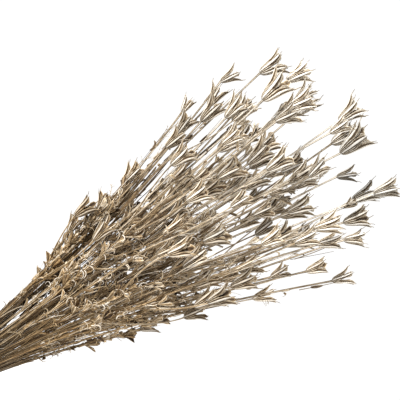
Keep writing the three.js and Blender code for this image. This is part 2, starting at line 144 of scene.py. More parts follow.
class Draws:
    """Random draws from one seeded sequence, the same as that of the solids."""

    def __init__(self, seed):
        self.state = seed

    def between(self, low, high):
        self.state = (self.state * 1664525 + 1013904223) & 0xFFFFFFFF
        return low + (high - low) * self.state / 2**32


draws = Draws(SOLIDS_SEED)


def bunch_radius(rise):
    cone = WAIST_RADIUS + CONE_SLOPE * rise
    if rise < DOME_RISE:
        return cone
    share = min(1, (rise - DOME_RISE) / DOME_HEIGHT)
    return min(cone, DOME_RADIUS * math.sqrt(1 - share * share))


def fan_shares(z, top_z):
    """How much a stem's waist, top and bow each count at heights above the neck."""
    up = np.clip((z - NECK_HEIGHT) / (top_z - NECK_HEIGHT), 0, 1)
    fan = up**FAN_BEND
    return 1 - fan, fan, 4 * up * (1 - up)


def fanned(z, top_z, *places):
    """The centres of stems from their waists, tops and bows."""
    return sum(share[..., None] * place for share, place in zip(fan_shares(z, top_z), places))


def branched_out(z, fork_z, top_z):
    """The share of its offset that a side branch has reached."""
    return 1 - (1 - np.clip((z - fork_z) / (top_z - fork_z), 0, 1)) ** BRANCH_SPREAD


class Head:
    """A seed head: its length, the slope of its axis, and how each lobe differs from the mean."""

    def __init__(self, length, slope):
        self.length = length
        self.slope = np.array(slope, float)
        count = LOBES_OF_LARGE if length > LARGE_HEAD else LOBES
        self.turn = draws.between(0, 2 * math.pi / count)
        lobes = [
            (draws.between(*LOBE_REACH), draws.between(*LOBE_FLARE), draws.between(-LOBE_SWING, LOBE_SWING))
            for _ in range(count)
        ]
        self.reach, self.flare, self.swing = np.array(lobes).T

    @property
    def rise(self):
        """How far the head reaches above its stem's top."""
        return self.length * AWN_ALONG * LOBE_REACH[1] / math.hypot(1, *self.slope)


class Stem:
    fork_z, offset = NO_FORK, (0, 0)

    def __init__(self, side, depth, rise, slope, length):
        self.stem = self
        share = WAIST_RADIUS / max(bunch_radius(rise), math.hypot(side, depth))
        self.top_z = VASE_HEIGHT + rise
        self.top = np.array([side, depth], float)
        self.waist = self.top * share
        self.bow = np.array([draws.between(-STEM_BOW, STEM_BOW) for _ in range(2)])
        self.head = Head(length, slope)
        self.branches, self.leaves = [], []

    def centre(self, z):
        """The stem's centre at one height or an array of heights, as an array with x and y last."""
        z = np.asarray(z, float)
        down = np.maximum(0, (NECK_HEIGHT - z) / (NECK_HEIGHT - STAND_Z)) ** STAND_BEND
        inside = self.waist * (1 + (STAND_RADIUS / WAIST_RADIUS - 1) * down)[..., None]
        above = fanned(z, self.top_z, self.waist, self.top, self.bow)
        return np.where((z <= NECK_HEIGHT)[..., None], inside, above)


class Branch:
    def __init__(self, stem, fork_z, top_z, offset, head):
        self.stem, self.fork_z, self.top_z, self.offset, self.head = stem, fork_z, top_z, offset, head

    def centre(self, z):
        z = np.asarray(z, float)
        return self.stem.centre(z) + self.offset * branched_out(z, self.fork_z, self.top_z)[..., None]


def outline_stem(side, rise, depth_share, lean, length):
    room = math.sqrt(max(0, bunch_radius(rise) ** 2 - side * side))
    depth = depth_share * room
    return Stem(side, depth, rise, (math.tan(math.radians(lean)), depth / (rise + FAN_APEX)), length)


def spiral_stem(index, count):
    rise = draws.between(*FILLER_RISES)
    spread = bunch_radius(rise) * FILLER_SPREAD * math.sqrt((index + 0.5) / count)
    angle = index * GOLDEN_ANGLE
    side, turned = spread * math.cos(angle), spread * math.sin(angle)
    depth = -turned if turned < 0 and index % 3 else turned
    slope = [c / (rise + FAN_APEX) + draws.between(-FILLER_LEAN, FILLER_LEAN) for c in (side, depth)]
    return Stem(side, depth, rise, slope, draws.between(*HEAD_LENGTHS))


def turned_inwards(offset, stem):
    """The side branch of an outer stem grows inwards, so that its head stays inside the bunch."""
    spread = math.hypot(*stem.top)
    outwards = np.dot(offset, stem.top) / spread
    if outwards < 0 or spread < INNER_SHARE * bunch_radius(stem.top_z - VASE_HEIGHT):
        return offset
    return offset - 2 * outwards * stem.top / spread


def add_branch(stem, index):
    stem_rise = stem.top_z - VASE_HEIGHT
    rise = LOWEST_HEAD_RISE + (stem_rise - LOWEST_HEAD_RISE) * draws.between(*BRANCH_PLACE)
    fork_rise = max(LOWEST_FORK_RISE, rise - draws.between(*BRANCH_LENGTH))
    angle = index * GOLDEN_ANGLE + draws.between(-BRANCH_TURN, BRANCH_TURN)
    reach = draws.between(*BRANCH_REACH)
    offset = turned_inwards(reach * np.array([math.cos(angle), math.sin(angle)]), stem)
    leans = np.array([draws.between(-BRANCH_LEAN, BRANCH_LEAN) for _ in range(2)])
    slope = stem.top / (stem_rise + FAN_APEX) + offset / (rise + FAN_APEX) + leans
    low_share = 1 - min(1, rise / FULL_HEAD_RISE)
    length = draws.between(*HEAD_LENGTHS) * (1 - (1 - LOWEST_HEAD_SHARE) * low_share)
    branch = Branch(stem, VASE_HEIGHT + fork_rise, VASE_HEIGHT + rise, offset, Head(length, slope))
    stem.branches.append(branch)


def branch_count(stem, index):
    rise = stem.top_z - VASE_HEIGHT
    if rise < BRANCHED_RISE:
        return 0
    return 2 if rise > TWICE_BRANCHED_RISE and index % TWICE_BRANCHED_EVERY == 0 else 1


def plant_bunch():
    stems = [outline_stem(*row) for row in OUTLINE_HEADS]
    rest = STEM_COUNT - len(stems)
    stems += [spiral_stem(i, rest) for i in range(rest)]
    made = 0
    for index, stem in enumerate(stems):
        for _ in range(branch_count(stem, index)):
            add_branch(stem, made)
            made += 1
    return stems


def gathered(things, *names):
    """Things' attributes, each as one array."""
    return [np.array([getattr(thing, name) for thing in things], float) for name in names]


class Clearing:
    """Every stem, branch and head as a disc at each of a row of heights, where they push each other apart."""

    def __init__(self, stems):
        self.stems = stems
        self.strands = stems + [branch for stem in stems for branch in stem.branches]
        self.owner = np.array([stems.index(strand.stem) for strand in self.strands])
        self.end_z, self.fork_z, self.offset = gathered(self.strands, "top_z", "fork_z", "offset")
        heads = [strand.head for strand in self.strands]
        self.length, self.slope, self.rise = gathered(heads, "length", "slope", "rise")
        self.waist, self.top, self.bow = gathered(stems, "waist", "top", "bow")
        self.stem_top_z = self.end_z[self.owner]
        self.is_branch = self.fork_z > NO_FORK

    def branch_out(self, z):
        return np.where(self.is_branch, branched_out(z, self.fork_z, self.end_z), 0)

    def sizes(self, z):
        """Which strands are there at a height, the radius of each one's disc, and if it is a head's."""
        there = (z <= self.end_z + self.rise) & (z >= self.fork_z)
        above = z - self.end_z
        along = np.clip(above / self.rise, 0, 1) * (len(HEAD_DISC) - 1)
        share = np.interp(along, np.arange(len(HEAD_DISC)), HEAD_DISC)
        stalk = np.where(self.is_branch, BRANCH_RADIUS, stem_radius(z))
        head = self.length * share * np.sqrt(1 + (self.slope**2).sum(1))
        return there, np.where(above > 0, head, stalk), above > 0

    def centres(self, z):
        low = np.minimum(z, self.end_z)
        places = (place[self.owner] for place in (self.waist, self.top, self.bow))
        at = fanned(low, self.stem_top_z, *places) + self.offset * self.branch_out(low)[..., None]
        return at + self.slope * np.maximum(0, z - self.end_z)[..., None]

    def prepare(self):
        """What stays the same from round to round: heights, least distances, and who moves by how much."""
        highest = (self.end_z + self.rise)[: len(self.stems)].max()
        self.levels = np.arange(NECK_HEIGHT, highest, LEVEL_STEP)[:, None]
        there, radius, is_head = self.sizes(self.levels)
        same = self.owner[:, None] == self.owner
        stalks = same & ~is_head[:, :, None] & ~is_head[:, None]
        pairs = there[:, :, None] & there[:, None] & ~stalks & np.triu(np.ones_like(same), 1)
        self.least = np.where(pairs, radius[:, :, None] + radius[:, None] + CLEAR_GAP, 0)
        out = self.branch_out(self.levels)
        self.moves_branch = self.is_branch & (out > NEAR_FORK)
        self.offset_share = np.where(self.moves_branch, 1 / np.maximum(out, LEAST_LEVERAGE), 0)
        shares = fan_shares(self.levels, self.stem_top_z)
        total = sum(share**2 for share in shares)
        self.shares = [np.where(self.moves_branch, 0, share / total) for share in shares]

    def push(self):
        """The pushes on every disc, summed, and how many there are."""
        at = self.centres(self.levels)
        x, y = at[..., 0], at[..., 1]
        square = (x[:, None] - x[:, :, None]) ** 2 + (y[:, None] - y[:, :, None]) ** 2
        level, a, b = np.nonzero(square < self.least**2)
        distance = np.maximum(1e-6, np.sqrt(square[level, a, b]))
        step = (self.least[level, a, b] - distance) * PUSH_SHARE / distance
        push = (at[level, b] - at[level, a]) * step[:, None]
        total, times = np.zeros_like(at), np.zeros(at.shape[:2])
        for index, sign in ((a, -1), (b, 1)):
            np.add.at(total, (level, index), sign * push)
            np.add.at(times, (level, index), 1)
        return total, times

    def settle(self, home, pull):
        total, times = self.push()
        stem_times = np.bincount(self.owner, np.where(self.moves_branch, 0, times).sum(0))
        rate = 1 / np.maximum(1, np.sqrt(stem_times))[:, None]
        moves = []
        for share in self.shares:
            strand_moves = (total * share[..., None]).sum(0).T
            moves.append(np.stack([np.bincount(self.owner, each) for each in strand_moves], 1) * rate)
        self.waist += moves[0]
        self.top += moves[1] + pull * HOME_PULL * (home - self.top)
        self.bow = (1 - pull * BOW_LOSS) * self.bow + moves[2]
        self.waist *= np.minimum(1, WAIST_RADIUS / np.hypot(*self.waist.T))[:, None]
        branch_times = np.where(self.moves_branch, times, 0).sum(0)
        offset_moves = (total * self.offset_share[..., None]).sum(0)
        self.offset += offset_moves / np.maximum(1, np.sqrt(branch_times))[:, None]

    def run(self):
        self.prepare()
        home = self.top.copy()
        for turn in range(ROUNDS):
            self.settle(home, max(0, 1 - turn / PULLED_ROUNDS))
        for index, stem in enumerate(self.stems):
            stem.waist, stem.top, stem.bow = self.waist[index], self.top[index], self.bow[index]
        for strand, offset in zip(self.strands, self.offset):
            strand.offset = offset


def stem_radius(z):
    up = np.clip((np.asarray(z, float) - NECK_HEIGHT) / (VASE_HEIGHT + DOME_RISE - NECK_HEIGHT), 0, 1)
    return STEM_FOOT_RADIUS + (STEM_TOP_RADIUS - STEM_FOOT_RADIUS) * up


def leaf_path(stem, z, heading, length, shares):
    """Up and out from the stem's centre, then over."""
    out = length * LEAF_OUT * shares**LEAF_BEND
    up = length * (shares - LEAF_DROOP * shares**2)
    x, y = stem.centre(z)
    return np.stack([x + out * math.cos(heading), y + out * math.sin(heading), z + up], -1)


def leaf_is_clear(points, stem_index, clearing, placed):
    for point in points:
        there, radius, _ = clearing.sizes(point[2])
        away = np.hypot(*(clearing.centres(point[2]) - point[:2]).T)
        touched = there & (clearing.owner != stem_index) & (away <= radius + LEAF_GAP)
        if touched.any() or any(math.dist(other, point) <= LEAF_APART for other in placed):
            return False
    return True


def grow_stiff_leaves(stems, clearing):
    placed = []
    for index, stem in enumerate(stems):
        for _ in range(LEAF_TRIES):
            z = VASE_HEIGHT + draws.between(*LEAF_RISES)
            x, y = stem.centre(z)
            heading = math.atan2(y, x) + draws.between(-LEAF_FAN, LEAF_FAN)
            length = draws.between(*LEAF_LENGTHS)
            points = leaf_path(stem, z, heading, length, LEAF_PROBES)
            if z > stem.top_z - LEAF_LENGTHS[1] or not leaf_is_clear(points, index, clearing, placed):
                continue
            stem.leaves.append((z, heading, length))
            placed.extend(points)


# Fine shapes. What only the looks need is drawn from a seeded generator of its own
rng = np.random.default_rng(LOOKS_SEED)


def unit(vectors):
    return vectors / np.maximum(1e-9, np.linalg.norm(vectors, axis=-1, keepdims=True))


def turned(vectors, axes, angles):
    """Vectors turned about unit axes."""
    cos, sin = np.cos(angles)[..., None], np.sin(angles)[..., None]
    along = (vectors * axes).sum(-1, keepdims=True)
    return vectors * cos + np.cross(axes, vectors) * sin + axes * along * (1 - cos)


def placed_object(name, data):
    made = bpy.data.objects.new(name, data)
    bpy.context.scene.collection.objects.link(made)
    return made


class Shape:
    """Collects a piece's corners and faces. A corner is its place and what the material reads there: tone
    (0 dark brown, 1 pale), shade (how far its part is from the mean) and grain (round, along, part)."""

    def __init__(self):
        self.size = 0
        self.corners, self.faces = [], []

    def add_loops(self, rings, tone, shade, grain):
        """Closed tubes through rings of corners (tube, step, side, xyz), with a fan over each end."""
        grid = rings.shape[:3]
        count, steps, sides = grid
        each = steps * sides + 2
        first = (np.arange(count) * each)[:, None, None] + self.size
        k = np.arange(sides)
        after = (k + 1) % sides
        last = (steps - 1) * sides
        bottom = np.stack([np.full(sides, each - 2), after, k], -1)
        top = np.stack([np.full(sides, each - 1), last + k, last + after], -1)
        row = np.arange(steps - 1)[:, None] * sides
        quads = np.stack([row + k, row + after, row + after + sides, row + k + sides], -1).reshape(-1, 4)
        for faces in (quads, np.concatenate([bottom, top])):
            self.faces += (faces + first).reshape(-1, faces.shape[1]).tolist()
        layers = (rings, tone[..., None], np.broadcast_to(shade, grid)[..., None], grain)
        corners = np.concatenate([np.broadcast_to(layer, (*grid, layer.shape[-1])) for layer in layers], -1)
        ends = corners[:, [0, -1]].mean(2)
        corners = np.concatenate([corners.reshape(count, steps * sides, -1), ends], 1)
        self.corners.append(corners.reshape(count * each, -1))
        self.size += count * each

    def add_tubes(self, paths, radii, across, section, tone, shade=0.0, roll=0.0, grain_pace=1.0):
        """Closed tubes along paths (tube, step, xyz). Across is the direction of each section's width, one
        that its path never takes. The slower the grain's pace, the longer are the streaks."""
        grid = paths.shape[:2]
        tangent = unit(np.gradient(paths, axis=1))
        width = np.cross(tangent, unit(np.cross(across[:, None], tangent)))
        width = turned(width, tangent, np.reshape(roll, (-1, 1)))
        thick = np.cross(tangent, width)
        ring = width[:, :, None] * section[:, :1] + thick[:, :, None] * section[:, 1:2]
        rings = paths[:, :, None] + ring * np.broadcast_to(radii, grid)[:, :, None, None]
        tones = np.broadcast_to(tone, grid)[:, :, None] + section[:, 2]
        gone = np.linalg.norm(np.diff(paths, axis=1), axis=2).cumsum(1)
        along = grain_pace * np.pad(gone, ((0, 0), (1, 0)))[..., None]
        part = rng.uniform(0, GRAIN_PARTS, (len(paths), 1, 1))
        grain = np.stack(np.broadcast_arrays(section[:, 0], along, part), -1)
        self.add_loops(rings, tones, np.reshape(shade, (-1, 1, 1)), grain)

    def build(self, name, material):
        corners = np.concatenate(self.corners)
        mesh = bpy.data.meshes.new(name)
        mesh.from_pydata(corners[:, :3] * MM, [], self.faces)
        mesh.shade_smooth()
        for column, key in ((3, "tone"), (4, "shade")):
            mesh.attributes.new(key, "FLOAT", "POINT").data.foreach_set("value", corners[:, column].copy())
        grain = mesh.attributes.new("grain", "FLOAT_VECTOR", "POINT")
        grain.data.foreach_set("vector", corners[:, 5:].ravel())
        mesh.materials.append(material)
        return placed_object(name, mesh)


def tube_section(sides, flat=1.0, ribs=0.0, rib_light_and_shade=0.0, edge_tone=0.0):
    """A tube's cross-section, each corner as (place along its width, place across it, how much paler)."""
    angle = 2 * math.pi * np.arange(sides) / sides
    rib = np.where(np.arange(sides) % 2, -1, 1)
    # Ribbed: a painted highlight on each raised rib and painted shade in each groove between
    paler = rib_light_and_shade * rib + edge_tone * np.cos(angle) ** 4
    return np.column_stack([np.cos(angle) * (1 + ribs * rib), np.sin(angle) * (1 + ribs * rib) * flat, paler])


def smooth_profile(rows, along):
    """A rounded curve through (place, value) rows, read at places from 0 to 1."""
    fine = np.linspace(0, 1, PROFILE_POINTS)
    kernel = np.hanning(PROFILE_ROUNDING)
    sharp = np.interp(fine, *np.array(rows).T)
    padded = np.pad(sharp, PROFILE_ROUNDING // 2, mode="reflect", reflect_type="odd")
    return np.interp(along, fine, np.convolve(padded, kernel / kernel.sum(), "valid"))


# A pod: places along its axis, and radii and widths there, all as shares of its length. Each lobe has a keel
# outside and, low down, a valley between it and the next lobe; higher up the lobes are free and open inwards
POD_STEPS = np.array([0, 0.03, 0.08, 0.16, 0.3, 0.44, 0.54, 0.63, 0.73, 0.82, 0.89, 0.95, 1.0])
UPPER_HALF = np.clip(2 * POD_STEPS - 1, 0, 1)
KEEL_RADIUS = [
    (0, 0.055), (0.03, 0.105), (0.07, 0.14), (0.14, 0.176), (0.25, 0.216), (0.38, 0.256), (0.5, 0.29),
    (0.65, 0.336), (0.8, 0.392), (0.92, 0.448), (1, 0.49),
]
VALLEY_RADIUS = [(0, 0.045), (0.07, 0.11), (0.14, 0.135), (0.25, 0.16), (0.38, 0.175), (0.5, 0.187), (1, 0.2)]
KEEL_WIDTH = [(0, 0.016), (0.1, 0.024), (0.3, 0.031), (0.6, 0.036), (0.85, 0.03), (1, 0.012)]
FLANK_WIDTH = [(0, 0.09), (0.4, 0.09), (0.6, 0.078), (0.75, 0.068), (0.88, 0.056), (0.96, 0.036), (1, 0.013)]
LIP_WIDTH = [(0, 0.07), (0.4, 0.07), (0.55, 0.035), (0.68, 0.06), (0.8, 0.112), (0.94, 0.118), (1, 0.02)]
LIP_RADIUS = [(0, 0.12), (0.4, 0.12), (0.55, 0.13), (0.7, 0.18), (0.82, 0.26), (0.93, 0.36), (1, 0.46)]
PROFILE_POINTS = 201
PROFILE_ROUNDING = 17
LOBE_WIDTH = (0.84, 1.14)
FREE_FROM, FREE_AT = 0.43, 0.6
POD_WALL, FULL_WALL_WIDTH = 0.012, 0.03
RIB_WIDTH, FULL_RIB_WIDTH = 0.014, 0.05
RAGGED, RAGGED_RANGE = 0.3, (0.5, 1.6)
WIDEST_CREST = 0.24
CREST_DEPTH = 0.47

# Across half a lobe, from its keel's crest over a side rib to its valley or lip: how far round, in shares of
# the crest's width and then of the half lobe, how deep, and the tone. The tone paints light: the crest is
# pale, partly the keel's own colour and partly a painted highlight, and the furrow and the valley are
# near-black, a painted shade in these creases
CREST_ROUND = np.array([0, 1, 1.5])
FUSED_ROUND = np.array([0.4, 0.6, 0.71, 0.83, 1])
FUSED_DEPTH = np.array([0, 0.05, 0.44, 0.3, 0.36, 0.24, 0.34, 1])
FUSED_TONE_AND_SHADE = np.array([1.08, 1.04, -0.06, 0.1, 0.38, 1, 0.56, -0.06])
FREE_CREST_FOOT = 1.05
FREE_DEPTH = np.array([0, 0.08, 0.34, 0.4, 0.55, 0.66, 0.8, 1])
FREE_TONE_AND_SHADE = np.array([1.08, 1.04, -0.06, 0.2, 0.34, 0.8, 0.46, 1.02])
INNER_COLUMNS = [0, 5, 7]
# Inside a lobe: near-black deep behind the keel, a painted shade, and pale at the lip
INNER_TONE_AND_SHADE = np.array([0.1, 0.35, 0.9])

# Grain: a pod's columns are counted from its crests, its inside has one number, and lobes differ by turn
GRAIN_PARTS = 100
POD_GRAIN = [*range(-7, 8), 9, 9, 9, 9, 9]
TURN_GRAIN = 9


def fused_half(head, sign, keel, valley, crest):
    """Where lobes are grown together: round the pod, from a keel's crest to the valley beside it."""
    half_turn = (math.pi / len(head.reach) - sign * head.swing)[:, None]
    near = np.minimum(crest / keel, WIDEST_CREST * half_turn)[..., None] * CREST_ROUND
    far = np.broadcast_to(half_turn[..., None] * FUSED_ROUND, (*keel.shape, len(FUSED_ROUND)))
    angle = np.concatenate([near, far], -1)
    radius = keel[..., None] - FUSED_DEPTH * (keel - valley)[..., None]
    return np.stack([radius * np.cos(angle), radius * np.sin(angle)], -1)


def free_half(keel, depth, crest, wide):
    """Where a lobe is free: out to its side, from its keel's crest to the ragged lip of its split."""
    ragged = np.clip(1 + RAGGED * UPPER_HALF * rng.normal(0, 1, keel.shape), *RAGGED_RANGE)
    flank = smooth_profile(FLANK_WIDTH, POD_STEPS) * wide
    lip = smooth_profile(LIP_WIDTH, POD_STEPS) * (1 + (wide**3 - 1) * UPPER_HALF) * ragged
    rib = flank + RIB_WIDTH * np.clip(flank / FULL_RIB_WIDTH, 0, 1)
    widths = [0 * crest, crest, FREE_CREST_FOOT * crest, flank, flank, rib, (rib + lip) / 2, lip]
    return np.stack([keel[..., None] - FREE_DEPTH * depth, np.stack(widths, -1)], -1)


def lobe_half(head, sign, wide):
    """One side of each lobe: outer and inner corners (lobe, step, column, (out, sideways)), outer tones."""
    free = np.clip((POD_STEPS - FREE_FROM) / (FREE_AT - FREE_FROM), 0, 1)[:, None]
    free = free * free * (3 - 2 * free)
    flare = 1 + (head.flare[:, None] - 1) * UPPER_HALF
    keel = smooth_profile(KEEL_RADIUS, POD_STEPS) * flare
    valley = smooth_profile(VALLEY_RADIUS, POD_STEPS)
    crest = np.broadcast_to(smooth_profile(KEEL_WIDTH, POD_STEPS), keel.shape)
    depth = (keel - smooth_profile(LIP_RADIUS, POD_STEPS) * flare)[..., None]
    fused = fused_half(head, sign, keel, valley, crest)
    outer = fused + (free_half(keel, depth, crest, wide[:, None]) - fused) * free[..., None]
    inner = outer[..., INNER_COLUMNS, :]
    inner[..., 0, 0] -= CREST_DEPTH * ((keel - valley)[..., None] * (1 - free) + depth * free)[..., 0]
    wall = POD_WALL * np.minimum(1, inner[..., 1:, 1] / FULL_WALL_WIDTH)
    inner[..., 1:, 0] -= wall * (1 - free)
    inner[..., 1:, 1] -= wall
    for corners in (outer, inner):
        corners[..., 1] *= sign
    return outer, inner, FUSED_TONE_AND_SHADE + (FREE_TONE_AND_SHADE - FUSED_TONE_AND_SHADE) * free


def add_pod(shape, foot, head):
    """A seed pod on its stem: lobes, the horn on each, and the near-black core that closes the cup between
    them, a painted shade.
    """
    axis = unit(np.array([*head.slope, 1.0]))
    across = unit(np.cross([0, 1, 0], axis))
    count = len(head.reach)
    wide = rng.uniform(*LOBE_WIDTH, count)
    turn = head.turn + 2 * math.pi / count * np.arange(count) + head.swing
    out = np.cos(turn)[:, None] * across + np.sin(turn)[:, None] * np.cross(axis, across)
    sideways = np.cross(axis, out)
    (left, left_in, tones), (right, right_in, _) = (lobe_half(head, sign, wide) for sign in (-1, 1))
    flat = np.concatenate([left[..., :0:-1, :], right, right_in[..., :0:-1, :], left_in], -2)
    place = (POD_STEPS + UPPER_HALF * (head.reach[:, None] - 1))[..., None, None]
    rings = foot + head.length * (
        flat[..., :1] * out[:, None, None] + flat[..., 1:] * sideways[:, None, None] + place * axis
    )
    inner_tone_and_shade = np.broadcast_to(INNER_TONE_AND_SHADE, (len(POD_STEPS), len(INNER_TONE_AND_SHADE)))
    # Tones round the pod, with a painted highlight on the crests and painted shade in furrows, valleys and
    # inside
    tone = np.concatenate([tones[:, :0:-1], tones, inner_tone_and_shade[:, :0:-1], inner_tone_and_shade], -1)
    shade = rng.normal(0, 1)
    along, part = POD_STEPS[:, None] * head.length, turn[:, None, None] * TURN_GRAIN
    shape.add_loops(rings, tone, shade, np.stack(np.broadcast_arrays(POD_GRAIN, along, part), -1))
    add_horns(shape, foot, head, out, sideways, axis, shade)
    # The core: a near-black body deep in the cup, painted shade
    path = foot + head.length * CORE_STEPS[:, None] * axis
    shape.add_tubes(path[None], head.length * CORE_RADIUS, across[None], CORE_SECTION, CUP_SHADE_TONE, shade)


# The near-black middle that shows between the open lobes, a painted shade deep in the cup
CORE_STEPS = np.array([0.1, 0.3, 0.45])
CORE_RADIUS = np.array([0.09, 0.125, 0.14])
CORE_SECTION = tube_section(8)
CUP_SHADE_TONE = 0.05

HORN_STEPS = 6
HORN_SECTION = tube_section(4)
HORN_ROOT = 0.93
HORN_END_RADIUS = 0.55
HORN_THICKNESS = (0.024, 0.009)
HORN_TAPER = 0.7
HORN_SHARE = (0.3, 1.0)
HORN_CURL = 0.06
HORN_BOW, HORN_BOW_CURL, HORN_SWAY = 0.012, 0.3, 0.7
HORN_TONE, HORN_DARKENING = 0.8, 0.5


def add_horns(shape, foot, head, out, sideways, axis, shade):
    """The slender beak that carries each lobe's keel on, out and up."""
    count = len(head.reach)
    step = np.linspace(0, 1, HORN_STEPS)
    share = rng.uniform(*HORN_SHARE, count)[:, None]
    curl, sway = rng.normal(0, HORN_CURL, (2, count, 1))
    root = HORN_ROOT * head.reach[:, None]
    end = root + (AWN_ALONG * head.reach[:, None] - root) * share
    flare = head.flare[:, None]
    root_radius = smooth_profile(KEEL_RADIUS, HORN_ROOT) * flare - HORN_THICKNESS[0]
    spread = (HORN_END_RADIUS * flare - root_radius) * share
    bow = step * (1 - step) * 4 * (HORN_BOW + curl * HORN_BOW_CURL)
    place = (root + (end - root) * step)[..., None] * axis
    radius = (root_radius + spread * step - bow)[..., None] * out[:, None]
    aside = (sway * step**2 * HORN_SWAY)[..., None] * sideways[:, None]
    paths = foot + head.length * (place + radius + aside)
    thickness = HORN_THICKNESS[0] + (HORN_THICKNESS[1] - HORN_THICKNESS[0]) * step**HORN_TAPER
    tone = HORN_TONE - HORN_DARKENING * step
    shape.add_tubes(paths, head.length * thickness, sideways, HORN_SECTION, tone, shade)


STEM_STEPS = 46
BRANCH_STEPS = 30
# Stems and branches: a painted highlight on their ribs and painted shade in their grooves
STEM_SECTION = tube_section(8, ribs=0.08, rib_light_and_shade=0.42)
BRANCH_SECTION = tube_section(6, ribs=0.06, rib_light_and_shade=0.35)
STALK_ACROSS = np.array([[0, 1, 0]])
STALK_TONE = (0.47, 0.15)
STALK_PALER = 0.08
STALK_GRAIN_PACE = 0.25
FORK_SWELLING = 0.5
FORK_LENGTH = 2.2
NECK_SWELLING = 0.4
NECK_LENGTH = 2.6


def add_stalk(shape, owner, low, steps, section, radius, knots=()):
    """A ribbed stem or branch, with a swelling at each knot and under the pod that it carries."""
    high = owner.top_z
    extra = [knot + gap for knot in knots for gap in (-FORK_LENGTH, 0, FORK_LENGTH)]
    z = np.concatenate([np.linspace(low, high, steps), extra, [high - NECK_LENGTH, high - NECK_LENGTH / 3]])
    z = np.sort(z[(z >= low) & (z <= high)])
    path = np.column_stack([owner.centre(z), z])
    swell = NECK_SWELLING * np.exp(-(((high - z) / NECK_LENGTH) ** 2))
    for knot in knots:
        swell = swell + FORK_SWELLING * np.exp(-(((z - knot) / FORK_LENGTH) ** 2))
    radii = radius(z) * (1 + swell)
    shade = rng.normal(0, 1)
    tone = rng.normal(*STALK_TONE) + STALK_PALER * np.clip((z - VASE_HEIGHT) / DOME_RISE, 0, 1)
    shape.add_tubes(path[None], radii, STALK_ACROSS, section, tone, shade, grain_pace=STALK_GRAIN_PACE)
    add_pod(shape, np.array([*owner.centre(high), high]), owner.head)


# Where dried litter grows, in rises above the vase's mouth, and how much of it a stem has
LITTER_RISES = (70, 290)
BELOW_HEAD = 20
AHEAD = 3
SURFACE_SHIFT = (0, 3.0)
SURFACE_NOISE = 0.35
FREE_RISE, LEAST_FREE = 190, 0.15
LEAST_LITTER, MORE_LITTER = 0.35, 0.85
BARE_RISE, CROWDED_SHARE = 215, 0.72
CURL_PACE = 1.4


def curled(starts, headings, axes, lengths, bends, steps):
    """Paths (path, step, xyz) that leave their starts along headings and turn more and more about axes."""
    pace = (np.arange(steps - 1) + 0.5) / (steps - 1)
    way = turned(headings[:, None], axes[:, None], bends[:, None] * pace**CURL_PACE)
    moves = np.cumsum(way * (lengths / (steps - 1))[:, None, None], 1)
    return starts[:, None] + np.concatenate([np.zeros((len(starts), 1, 3)), moves], 1)


def outwards(places):
    """The level directions from the bunch's middle to places."""
    return unit(places * [1, 1, 0])


def litter_count(stem, count):
    """How many of a kind a stem has, the more the nearer it is to the outside of the bunch."""
    outer = min(1, math.hypot(*stem.top) / bunch_radius(stem.top_z - VASE_HEIGHT))
    return max(1, round(count * (LEAST_LITTER + MORE_LITTER * outer**2)))


def litter_starts(stem, count, rises, skew=1.0):
    """Random places up a stem, more of them low down by the skew, and how the stem runs there."""
    top = min(rises[1], stem.top_z - VASE_HEIGHT - BELOW_HEAD)
    z = VASE_HEIGHT + rises[0] + (top - rises[0]) * rng.uniform(0, 1, count) ** skew
    starts, ahead = (np.column_stack([stem.centre(level), level]) for level in (z, z + AHEAD))
    free = np.clip((z - VASE_HEIGHT) / FREE_RISE, 0, 1)[:, None]
    shift = outwards(starts) * free * rng.uniform(*SURFACE_SHIFT, (count, 1))
    return starts + shift, unit(ahead - starts)


def crowded_starts(stem, count, rises):
    """Such places, but only those among other stems."""
    starts, along = litter_starts(stem, litter_count(stem, count), rises)
    rise = starts[:, 2] - VASE_HEIGHT
    share = np.hypot(starts[:, 0], starts[:, 1]) / [bunch_radius(each) for each in rise]
    kept = (rise < BARE_RISE) | (share < CROWDED_SHARE)
    return starts[kept], along[kept]


def leaning(starts, directions, low, high):
    """The directions leaned over, less so low down, and the axes that they lean about, which point roughly
    in or out of the bunch, so that what leans lies on its surface."""
    axes = outwards(starts) * rng.choice([-1, 1], (len(starts), 1))
    axes = axes + SURFACE_NOISE * rng.normal(0, 1, directions.shape)
    axes = unit(axes - directions * (axes * directions).sum(1, keepdims=True))
    free = np.clip((starts[:, 2] - VASE_HEIGHT) / FREE_RISE, LEAST_FREE, 1)
    return turned(directions, axes, free * rng.uniform(low, high, len(directions))), axes


# Dried leaves: a thin midrib with curling threads on both sides
LEAVES_PER_STEM = 2
LEAF_STEPS = 13
LEAF_LEAN = (0.15, 0.6)
LEAF_LENGTH_RANGE = (16, 32)
CURLED_LEAF_RADIUS, STIFF_LEAF_RADIUS = 0.4, 0.6
LEAF_TIP = 0.5
LEAF_TONE = (0.4, 0.85)
THREADS = 4
THREAD_STEPS = 7
THREAD_PLACES = (0.2, 0.95)
THREAD_SHIFT = 0.05
THREAD_LEAN = (0.5, 1.1)
THREAD_LENGTH = (4, 11)
LOWEST_THREAD, THREAD_LOSS = 1.1, 0.5
THREAD_BEND, THREAD_TWIST = 1.4, 0.5
THREAD_RADII = (0.32, 0.16)
THREAD_SECTION = tube_section(3)
TWIG_SECTION = tube_section(4)


